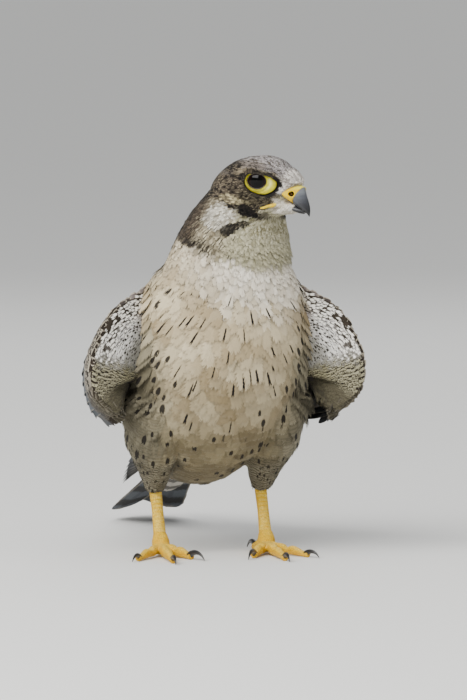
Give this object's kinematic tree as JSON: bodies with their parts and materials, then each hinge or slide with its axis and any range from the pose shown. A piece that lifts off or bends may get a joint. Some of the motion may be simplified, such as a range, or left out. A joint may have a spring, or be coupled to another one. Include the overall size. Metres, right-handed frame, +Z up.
{
  "type": "peregrine falcon",
  "caption": "Life-size standing bird of prey, head turned to its left, wings dropped a little off its flanks, resting on both feet.",
  "frame": {"origin": "on the floor, below the middle of the whole bird's box", "axes": "+Z up, the bird faces -Y with its tail towards +Y, and its left side is +X"},
  "size_m": [0.2044, 0.3667, 0.2911],
  "materials": {
    "plumage_dark": "slate brown feathers",
    "plumage_pale": "cream feathers with dark spots and bars",
    "plumage_grey": "slate grey feathers with pale edges",
    "bare_skin": "bare yellow skin and scales",
    "bill": "polished blue-grey horn, darker at the tip",
    "claw": "polished black horn",
    "eye": "wet very dark brown"
  },
  "bodies": {
    "root": {"head": "plumage_dark", "neck": "plumage_pale", "torso": "plumage_pale", "eye_left": "eye", "eye_right": "eye", "eyelid_left": "bare_skin", "eyelid_right": "bare_skin", "cere": "bare_skin", "bill_upper": "bill", "bill_lower": "bill", "wing_left": "plumage_grey", "wing_right": "plumage_grey", "primaries_left": "plumage_grey", "primaries_right": "plumage_grey", "tail": "plumage_grey", "thigh_left": "plumage_pale", "thigh_right": "plumage_pale", "shank_left": "bare_skin", "shank_right": "bare_skin", "foot_left": "bare_skin", "foot_right": "bare_skin", "claw_inner_left": "claw", "claw_inner_right": "claw", "claw_middle_left": "claw", "claw_middle_right": "claw", "claw_outer_left": "claw", "claw_outer_right": "claw", "claw_hind_left": "claw", "claw_hind_right": "claw"}
  },
  "joints": []
}
